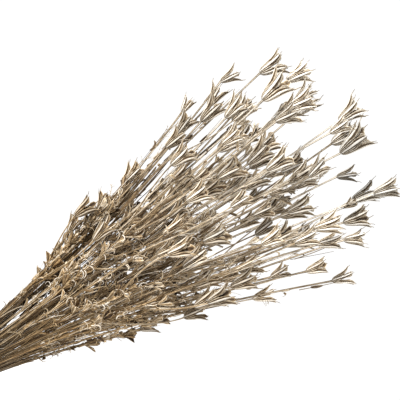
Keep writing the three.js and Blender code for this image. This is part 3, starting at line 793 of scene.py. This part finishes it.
def add_threads(shape, paths, axes, tone):
    """Side threads along leaves' midribs, curling back over them."""
    grid, total = (len(paths), THREADS), len(paths) * THREADS
    place = np.linspace(*THREAD_PLACES, THREADS) + rng.uniform(-THREAD_SHIFT, THREAD_SHIFT, grid)
    index = np.clip((place * (LEAF_STEPS - 1)).astype(int), 1, LEAF_STEPS - 2)
    row = np.arange(len(paths))[:, None]
    tangent = unit(paths[row, index + 1] - paths[row, index - 1])
    hinge = turned(axes[:, None], tangent, rng.uniform(0, 2 * math.pi, grid))
    headings = turned(tangent, hinge, rng.uniform(*THREAD_LEAN, grid)).reshape(total, 3)
    lengths = rng.uniform(*THREAD_LENGTH, total) * (LOWEST_THREAD - THREAD_LOSS * place.ravel())
    bends = rng.normal(0, THREAD_BEND, total)
    hinge = unit(np.cross(headings, rng.normal(0, THREAD_TWIST, (total, 3)) + hinge.reshape(total, 3)))
    threads = curled(paths[row, index].reshape(total, 3), headings, hinge, lengths, bends, THREAD_STEPS)
    radii = np.linspace(*THREAD_RADII, THREAD_STEPS)
    shape.add_tubes(threads, radii, hinge, THREAD_SECTION, np.repeat(tone, THREADS)[:, None])


def add_leaves(shape, stem):
    """The few stiff leaves that the solids have too, and small curled ones."""
    starts, along = litter_starts(stem, LEAVES_PER_STEM, LITTER_RISES)
    headings, axes = leaning(starts, along, *LEAF_LEAN)
    lengths = rng.uniform(*LEAF_LENGTH_RANGE, LEAVES_PER_STEM)
    bends = np.abs(rng.normal(0, 1, LEAVES_PER_STEM))
    paths = curled(starts, headings, axes, lengths, bends, LEAF_STEPS)
    stiff = [leaf_path(stem, *leaf, np.linspace(0, 1, LEAF_STEPS)) for leaf in stem.leaves]
    across = [(-math.sin(heading), math.cos(heading), 0) for _, heading, _ in stem.leaves]
    paths = np.concatenate([paths, np.reshape(stiff, (-1, LEAF_STEPS, 3))])
    axes = np.concatenate([axes, np.reshape(across, (-1, 3))])
    thick = np.repeat([CURLED_LEAF_RADIUS, STIFF_LEAF_RADIUS], [LEAVES_PER_STEM, len(stiff)])[:, None]
    tone = rng.uniform(*LEAF_TONE, len(paths))
    shape.add_tubes(paths, thick * np.linspace(1, LEAF_TIP, LEAF_STEPS), axes, TWIG_SECTION, tone[:, None])
    add_threads(shape, paths, axes, tone)


def uniform(low, high):
    return lambda count: rng.uniform(low, high, count)


def normal(mean, spread):
    return lambda count: rng.normal(mean, spread, count)


def bulging(low, high, power, steps):
    """A width that swells up and shrinks again along a path."""
    return np.sin(math.pi * np.linspace(low, high, steps)) ** power


class Scrap:
    """A kind of loose dried scrap, with what is drawn for each one in the order in which it is given."""

    def __init__(self, lean, section, widths, grain_pace=1.0, **drawn):
        self.lean, self.section, self.widths, self.drawn = lean, section, widths, drawn
        self.grain_pace = grain_pace

    def add_to(self, shape, starts, along):
        headings, axes = leaning(starts, along, *self.lean)
        drawn = {name: draw(len(starts)) for name, draw in self.drawn.items()}
        paths = curled(starts, headings, axes, drawn.pop("length"), drawn.pop("bend"), len(self.widths))
        radii, tone = drawn.pop("radius")[:, None] * self.widths, drawn.pop("tone")[:, None]
        shape.add_tubes(paths, radii, axes, self.section, tone, grain_pace=self.grain_pace, **drawn)
        return paths


# Straws are leaf stalks along the stems, blades are dark leaves deep inside the bunch that fill its gaps, a
# painted shade between the stems, flaps are curled papery shreds, twigs carry cups, and hooks are short
# threads that curl up in tufts on the surface
STRAW = Scrap(
    lean=(0.02, 0.2), section=tube_section(5, flat=0.5, edge_tone=0.2), widths=np.linspace(1, 0.6, 9),
    length=uniform(22, 62), bend=normal(0, 0.3), radius=uniform(0.32, 0.66), tone=uniform(0.05, 1.15),
    shade=normal(0, 1), roll=uniform(0, math.pi), grain_pace=0.5,
)
# Dark sheets deep inside the bunch: painted shade in its gaps
BLADE = Scrap(
    lean=(0, 0.1), section=tube_section(6, flat=0.2, edge_tone=0.2), widths=bulging(0.1, 0.95, 0.4, 9),
    length=uniform(28, 62), bend=normal(0, 0.2), radius=uniform(0.9, 1.7), tone=uniform(0.12, 0.5),
    roll=normal(math.pi / 2, 0.5),
)
FLAP = Scrap(
    lean=(0.1, 1.2), section=tube_section(6, flat=0.16, edge_tone=0.5), widths=bulging(0.12, 0.97, 0.6, 8),
    length=uniform(6, 15), bend=normal(0.6, 1.6), radius=uniform(0.9, 2.1), tone=uniform(0.05, 0.75),
    shade=normal(0, 1), roll=normal(math.pi / 2, 0.8),
)
TWIG = Scrap(
    lean=(0.2, 0.9), section=TWIG_SECTION, widths=np.full(6, 0.5), radius=np.ones,
    length=uniform(4, 13), bend=uniform(-0.9, 0.3), tone=uniform(0.5, 1),
)
HOOK = Scrap(
    lean=(-math.pi / 2, math.pi / 2), section=TWIG_SECTION, widths=np.linspace(1, 0.45, THREAD_STEPS),
    length=uniform(4, 13), bend=uniform(1.2, 3.6), tone=uniform(0.6, 1.4), radius=uniform(0.35, 0.7),
)
STRAWS_PER_STEM, STRAW_RISES, STRAW_SKEW = 18, (4, 345), 1.5
BLADES_PER_STEM, BLADE_RISES, BLADE_DEPTH = 5, (0, 235), (0.8, 0.8, 1)
FLAPS_PER_STEM, FLAP_RISES = 10, (60, 345)
CUPS_PER_STEM, CUP_RISES = 7, (95, 400)
TUFTS_PER_STEM, HOOKS_PER_TUFT, TUFT_SPREAD = 9, 4, 1.1

# Husks are keeled scales, a few to a cup. A husk's section is a shallow V, its keel and edges paler, open to
# the inside of its cup
HUSKS = 5
HUSK_STEPS = 6
HUSK_SHIFT = 0.25
HUSK_LEAN = (0.25, 0.6)
HUSK_LENGTH = (10, 18)
HUSK_EVENNESS = (0.8, 1.1)
HUSK_BEND = (-0.5, 0.5)
HUSK_WIDTH = (2.4, 4.0)
HUSK_OUTLINE = ((0, 0.2, 0.8, 1), (0.14, 0.4, 1, 0.15))
HUSK_TONE = (0.06, 0.56)
HUSK_SECTION = np.array([
    (1, 0.6, 0.8), (0.66, 0.36, -0.1), (0, 0.05, -0.1), (-0.66, 0.36, -0.1),
    (-1, 0.6, 0.8), (-0.66, 0.2, -0.05), (0, -0.24, 0.6), (0.66, 0.2, -0.05),
])


def add_cups(shape, starts, middles):
    """A small open cup at each start: a ring of husks round its middle direction."""
    count = len(starts)
    sides = unit(np.cross(middles, rng.normal(0, 1, middles.shape)))
    shift = rng.uniform(-HUSK_SHIFT, HUSK_SHIFT, (count, HUSKS))
    spin = 2 * math.pi * (np.arange(HUSKS) + shift) / HUSKS
    starts, middles, sides = (np.repeat(each, HUSKS, 0) for each in (starts, middles, sides))
    total = len(starts)
    axes = turned(sides, middles, spin.ravel())
    headings = turned(middles, axes, rng.uniform(*HUSK_LEAN, total))
    lengths = np.repeat(rng.uniform(*HUSK_LENGTH, count), HUSKS) * rng.uniform(*HUSK_EVENNESS, total)
    husks = curled(starts, headings, axes, lengths, rng.uniform(*HUSK_BEND, total), HUSK_STEPS)
    widths = np.interp(np.linspace(0, 1, HUSK_STEPS), *HUSK_OUTLINE)
    radii = rng.uniform(*HUSK_WIDTH, (total, 1)) * (lengths / HUSK_LENGTH[1])[:, None] * widths
    tone = np.repeat(rng.uniform(*HUSK_TONE, count), HUSKS)[:, None]
    shape.add_tubes(husks, radii, axes, HUSK_SECTION, tone, rng.normal(0, 1, total))


def add_scraps(shape, stem):
    """All that is withered and loose on a stem."""
    STRAW.add_to(shape, *litter_starts(stem, litter_count(stem, STRAWS_PER_STEM), STRAW_RISES, STRAW_SKEW))
    starts, along = litter_starts(stem, BLADES_PER_STEM, BLADE_RISES)
    BLADE.add_to(shape, starts * BLADE_DEPTH, along)
    FLAP.add_to(shape, *litter_starts(stem, litter_count(stem, FLAPS_PER_STEM), FLAP_RISES))
    twigs = TWIG.add_to(shape, *crowded_starts(stem, CUPS_PER_STEM, CUP_RISES))
    add_cups(shape, twigs[:, -1], unit(twigs[:, -1] - twigs[:, -2]))
    places = crowded_starts(stem, TUFTS_PER_STEM, LITTER_RISES)
    starts, along = (np.repeat(each, HOOKS_PER_TUFT, 0) for each in places)
    HOOK.add_to(shape, starts + rng.normal(0, TUFT_SPREAD, starts.shape), along)


def fine_stem(stem, name, material):
    shape = Shape()
    forks = [branch.fork_z for branch in stem.branches]
    add_stalk(shape, stem, STAND_Z, STEM_STEPS, STEM_SECTION, stem_radius, forks)
    for branch in stem.branches:
        add_stalk(shape, branch, branch.fork_z, BRANCH_STEPS, BRANCH_SECTION, lambda z: BRANCH_RADIUS)
    add_leaves(shape, stem)
    add_scraps(shape, stem)
    return shape.build(name, material)


# The vase, turned from rows of (radius, height)
LATHE_SIDES = 100
CURVE_STEPS = 50
THROWING_DEPTH = 0.14
THROWING_PITCH = 5.5
PLAIN_FOOT, PLAIN_LIP, RINGS_FADE = 6, 8, 12
LIP_STEPS = 7
FOOT_STEPS = 5
UNDERSIDE_RADII = (1, 18)
FLOOR_RADII = (12, 1)
FLOOR_ROUNDING = 3


def outline_curve():
    """The vase's outside as (radius, height) rows on the same smooth curve as the solid's."""
    points = np.array(VASE_OUTLINE, float)
    padded = np.concatenate([points[:1], points, points[-1:]])
    spans = len(points) - 1
    place = np.linspace(0, spans, CURVE_STEPS)
    first = np.minimum(place.astype(int), spans - 1)
    t = (place - first)[:, None]
    p0, p1, p2, p3 = (padded[first + k] for k in range(4))
    v0, v1 = (p2 - p0) / 2, (p3 - p1) / 2
    return (2 * p1 - 2 * p2 + v0 + v1) * t**3 + (3 * p2 - 3 * p1 - 2 * v0 - v1) * t**2 + v0 * t + p1


def vase_rows():
    """A thrown vase: faint rings on its outside, a rounded lip and foot, and a plain inside."""
    outline, inside = outline_curve(), outline_curve()
    height = outline[:, 1]
    fade = np.clip(np.minimum(height - PLAIN_FOOT, VASE_HEIGHT - PLAIN_LIP - height) / RINGS_FADE, 0, 1)
    outline[:, 0] -= THROWING_DEPTH * fade * (1 + np.sin(height * 2 * math.pi / THROWING_PITCH)) / 2
    inside = inside[inside[:, 1] > VASE_FLOOR + 1][::-1] - [VASE_WALL, 0]
    round_lip = np.linspace(0, math.pi, LIP_STEPS)[1:-1]
    lip = VASE_WALL / 2 * np.column_stack([np.cos(round_lip), np.sin(round_lip)]) - [0, VASE_WALL / 2]
    lip += (outline[-1] + inside[0]) / 2
    for edge in (outline[-1], inside[0]):
        edge[1] -= VASE_WALL / 2
    round_foot = np.linspace(0, math.pi / 2, FOOT_STEPS)
    foot = FOOT_ROUNDING * np.column_stack([np.sin(round_foot), 1 - np.cos(round_foot)])
    foot += [FOOT_RADIUS - FOOT_ROUNDING, 0]
    underside = [(radius, 0) for radius in UNDERSIDE_RADII]
    floor = [(radius, VASE_FLOOR) for radius in (inside[-1, 0] - FLOOR_ROUNDING, *FLOOR_RADII)]
    return np.concatenate([underside, foot, outline[1:], lip, inside, floor])


def fine_vase(material):
    rows = vase_rows()
    angle = 2 * math.pi * np.arange(LATHE_SIDES) / LATHE_SIDES
    ring = np.stack([np.cos(angle), np.sin(angle), np.zeros(LATHE_SIDES)], -1)
    rings = rows[:, :1, None] * ring + rows[:, 1:, None] * np.array([0, 0, 1])
    shape = Shape()
    shape.add_loops(rings[None], np.zeros(1), 0.0, np.zeros(3))
    return shape.build("vase_glazed", material)


class Nodes:
    """A short way to add shader nodes and link them."""

    def __init__(self, tree):
        self.tree = tree
        tree.nodes.clear()

    def add(self, kind, inputs=(), **settings):
        """A node of a kind, with inputs given as (socket, value or output socket)."""
        node = self.tree.nodes.new("ShaderNode" + kind)
        for key, value in settings.items():
            setattr(node, key, value)
        for socket, value in inputs:
            if isinstance(value, bpy.types.NodeSocket):
                self.tree.links.new(value, node.inputs[socket])
            else:
                node.inputs[socket].default_value = value
        return node

    def math(self, operation, a, b):
        return self.add("Math", [(0, a), (1, b)], operation=operation).outputs[0]

    def times(self, a, b):
        return self.math("MULTIPLY", a, b)

    def plus(self, a, b, times):
        """The sum of a and so many times b."""
        return self.math("ADD", a, self.times(b, times))

    def mapped(self, value, source=(0, 1), target=(0, 1)):
        """A value carried over from one range to another, and held inside it."""
        ends = zip(("From Min", "From Max", "To Min", "To Max"), (*source, *target))
        return self.add("MapRange", [("Value", value), *ends]).outputs[0]

    def mixed(self, colour, other, share, blend="MULTIPLY"):
        inputs = [(0, share), (6, colour), (7, other)]
        return self.add("Mix", inputs, data_type="RGBA", blend_type=blend).outputs[2]

    def attribute(self, name, output):
        return self.add("Attribute", attribute_name=name).outputs[output]

    def object_place(self):
        """The place on the object, in metres, and its height."""
        place = self.add("TexCoord").outputs["Object"]
        return place, self.add("SeparateXYZ", [(0, place)]).outputs["Z"]

    def noise(self, vector, scale, detail):
        return self.add("TexNoise", [("Vector", vector), ("Scale", scale), ("Detail", detail)]).outputs["Fac"]

    def finish(self, colour, roughness, specular, relief, depth):
        """The surface's shader, with relief of a depth in metres."""
        bump = self.add("Bump", [("Height", relief), ("Distance", depth)]).outputs["Normal"]
        gloss = [("Roughness", roughness), ("Specular IOR Level", specular)]
        shader = self.add("BsdfPrincipled", [("Base Color", colour), ("Normal", bump), *gloss])
        self.add("OutputMaterial", [("Surface", shader.outputs[0])])


def new_material(name):
    material = bpy.data.materials.new(name)
    material.use_nodes = True
    return material, Nodes(material.node_tree)


# The dried plant. Colours are linear and heights are in metres. By its tone a part goes from dark brown to
# pale, streaked along its grain and finely speckled. Low down it is browner, and it is darkest right above
# the vase, a painted shade where the stems crowd together there
PLANT_COLOURS = [
    (0.0, (0.026, 0.015, 0.007)), (0.2, (0.094, 0.062, 0.033)), (0.45, (0.262, 0.206, 0.134)),
    (0.68, (0.510, 0.450, 0.350)), (0.86, (0.850, 0.812, 0.732)), (1.0, (0.960, 0.942, 0.900)),
]
GRAIN_SCALE = (1.1, 0.22, 1.0)
STREAK_STRENGTH, SPECKLE_STRENGTH = 0.85, 0.3
LOW_TINT, TINT_HEIGHTS = (0.79, 0.63, 0.405, 1), (0.3, 0.62)
PALE_TONES, PALE_TINTING = (0.8, 1.1), (1.0, 0.25)
WARM_TINT, WARM_SHARE = (1.0, 0.86, 0.66, 1), (0.28, 0.65)
MEAN_SHADE, SHADE_STRENGTH = 0.96, 0.15
NECK_HEIGHTS, NECK_PAINTED_SHADE = (0.205, 0.31), (0.42, 1)
STREAK_RELIEF = 1.4


def set_plant_colours(ramp):
    elements = ramp.color_ramp.elements
    while len(elements) < len(PLANT_COLOURS):
        elements.new(0.5)
    for element, (position, colour) in zip(elements, PLANT_COLOURS):
        element.position = position
        element.color = (*colour, 1)


def plant_material():
    material, nodes = new_material("dried_plant")
    place, height = nodes.object_place()
    grain = nodes.attribute("grain", "Vector")
    stretched = nodes.add("Mapping", [("Vector", grain), ("Scale", GRAIN_SCALE)]).outputs[0]
    streaks = nodes.math("SUBTRACT", nodes.noise(stretched, scale=1.6, detail=3), 0.5)
    speckle = nodes.math("SUBTRACT", nodes.noise(place, scale=420, detail=3), 0.5)
    tone = nodes.plus(nodes.attribute("tone", "Fac"), streaks, STREAK_STRENGTH)
    tone = nodes.plus(tone, speckle, SPECKLE_STRENGTH)
    ramp = nodes.add("ValToRGB", [("Fac", tone)])
    set_plant_colours(ramp)
    low = nodes.mapped(height, TINT_HEIGHTS, (1, 0))
    tinting = nodes.times(low, nodes.mapped(tone, PALE_TONES, PALE_TINTING))
    colour = nodes.mixed(ramp.outputs["Color"], LOW_TINT, tinting)
    part = nodes.add("SeparateXYZ", [(0, grain)]).outputs["Z"]
    chance = nodes.add("TexWhiteNoise", [("W", part)], noise_dimensions="1D").outputs["Value"]
    warmth = nodes.mapped(low, target=WARM_SHARE)
    colour = nodes.mixed(colour, WARM_TINT, nodes.times(warmth, chance))
    shade = nodes.plus(MEAN_SHADE, nodes.attribute("shade", "Fac"), SHADE_STRENGTH)
    # Painted shade: darker right above the vase, where the stems crowd together
    shade = nodes.times(shade, nodes.mapped(height, NECK_HEIGHTS, NECK_PAINTED_SHADE))
    relief = nodes.plus(speckle, streaks, STREAK_RELIEF)
    nodes.finish(nodes.mixed(colour, shade, 1), roughness=0.68, specular=0.3, relief=relief, depth=0.00035)
    return material


# The vase's glaze: cloudy and speckled, thin and brown on the rim, and bare clay at the foot
GLAZE_COLOUR = (0.44, 0.405, 0.34, 1)
CLOUD_RANGE, CLOUD_SHADES = (0.3, 0.7), (0.86, 1.04)
SPOT_COLOUR, SPOT_RANGE = (0.45, 0.34, 0.24, 1), (0.70, 0.76)
RIM_COLOUR, RIM_HEIGHTS, RIM_RIPPLE = (0.27, 0.165, 0.09, 1), (0.1835, 0.1875), 0.005
CLAY_COLOUR, CLAY_HEIGHT, CLAY_RIPPLE = (0.36, 0.25, 0.16, 1), 0.0037, 0.0016


def glaze_material():
    material, nodes = new_material("stoneware_glaze")
    place, height = nodes.object_place()
    clouds = nodes.mapped(nodes.noise(place, scale=22, detail=4), CLOUD_RANGE, CLOUD_SHADES)
    glaze = nodes.mixed(GLAZE_COLOUR, clouds, 1)
    spots = nodes.mapped(nodes.noise(place, scale=330, detail=1), SPOT_RANGE)
    glaze = nodes.mixed(glaze, SPOT_COLOUR, spots)
    ripple = nodes.noise(place, scale=90, detail=2)
    rim = nodes.mapped(nodes.plus(height, ripple, RIM_RIPPLE), RIM_HEIGHTS)
    glaze = nodes.mixed(glaze, RIM_COLOUR, rim, "MIX")
    bare = nodes.math("LESS_THAN", height, nodes.plus(CLAY_HEIGHT, ripple, CLAY_RIPPLE))
    colour = nodes.mixed(glaze, CLAY_COLOUR, bare, "MIX")
    nodes.finish(colour, roughness=0.38, specular=0.5, relief=ripple, depth=0.0006)
    return material


# The white room, its light and the camera
FLOOR_SIZE = 160
FLOOR_DROP = 0.0003
FLOOR_GREY = 0.7
FLOOR_GLOW = 0.53
WORLD_STRENGTH = 0.72
BACKDROP_STRENGTH = 1.05

# Square lights that point at the bunch: name, place, size, power and colour
LIGHTS = [
    ("key", (-1.7, -1.7, 1.25), 0.6, 88, (1.0, 0.98, 0.95)),
    ("fill", (1.9, -1.5, 0.6), 0.9, 23, (1.0, 0.95, 0.88)),
    ("rear", (1.3, 1.9, 1.5), 0.9, 42, (1.0, 0.97, 0.93)),
]

BUNCH_CENTRE = (0, 0, 0.45)
VIEW_CENTRE = (-0.0184, 0, 0.4663)
VIEW_DISTANCE = 2.4
VIEW_RIGHT = (0.525, 0, 0.851)
SENSOR_WIDTH = 36
FRAME_WIDTH = 0.4


def set_floor():
    bpy.ops.mesh.primitive_plane_add(size=FLOOR_SIZE, location=(0, 0, -FLOOR_DROP))
    floor = bpy.context.object
    floor.name = "floor"
    material, nodes = new_material("white_floor")
    look = [("Base Color", (*[FLOOR_GREY] * 3, 1)), ("Roughness", 0.9), ("Emission Color", (1, 1, 1, 1))]
    shader = nodes.add("BsdfPrincipled", [*look, ("Emission Strength", FLOOR_GLOW)])
    nodes.add("OutputMaterial", [("Surface", shader.outputs[0])])
    floor.data.materials.append(material)
    floor.visible_diffuse = False


def set_room():
    """A white room, which the camera sees brighter than it lights the bunch."""
    world = bpy.data.worlds.new("white_room")
    world.use_nodes = True
    nodes = Nodes(world.node_tree)
    seen = nodes.add("LightPath").outputs["Is Camera Ray"]
    strength = nodes.mapped(seen, target=(WORLD_STRENGTH, BACKDROP_STRENGTH))
    background = nodes.add("Background", [("Color", (1, 1, 1, 1)), ("Strength", strength)])
    nodes.add("OutputWorld", [("Surface", background.outputs[0])])
    bpy.context.scene.world = world


def add_light(name, place, size, power, colour):
    data = bpy.data.lights.new(name, "AREA")
    data.energy = power
    data.size = size
    data.color = colour
    light = placed_object(name, data)
    light.location = place
    light.rotation_euler = (Vector(BUNCH_CENTRE) - Vector(place)).to_track_quat("-Z", "Y").to_euler()


def set_camera():
    """Level with the bunch and looking along +Y, but rolled, as the photograph shows the bunch lying over."""
    data = bpy.data.cameras.new("camera")
    data.sensor_width = SENSOR_WIDTH
    data.lens = SENSOR_WIDTH * VIEW_DISTANCE / FRAME_WIDTH
    camera = placed_object("camera", data)
    right = Vector(VIEW_RIGHT).normalized()
    back = Vector((0, -1, 0))
    roll = Matrix((right, back.cross(right), back)).transposed()
    camera.matrix_world = Matrix.Translation(Vector(VIEW_CENTRE) + back * VIEW_DISTANCE) @ roll.to_4x4()
    bpy.context.scene.camera = camera


def dress():
    """Puts a fine piece in place of every node of the solids."""
    stems = plant_bunch()
    clearing = Clearing(stems)
    clearing.run()
    grow_stiff_leaves(stems, clearing)
    plant = plant_material()
    pieces = [(fine_vase(glaze_material()), "vase", "stoneware")]
    for index, stem in enumerate(stems):
        node = f"flowering_stem_{index + 1:02d}"
        pieces.append((fine_stem(stem, node + "_dried", plant), node, "straw"))
    for piece, node, slot in pieces:
        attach(piece, "root")
        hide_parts(node)


dress()
set_floor()
set_room()
for light in LIGHTS:
    add_light(*light)
set_camera()
bpy.context.scene.view_settings.view_transform = "Standard"
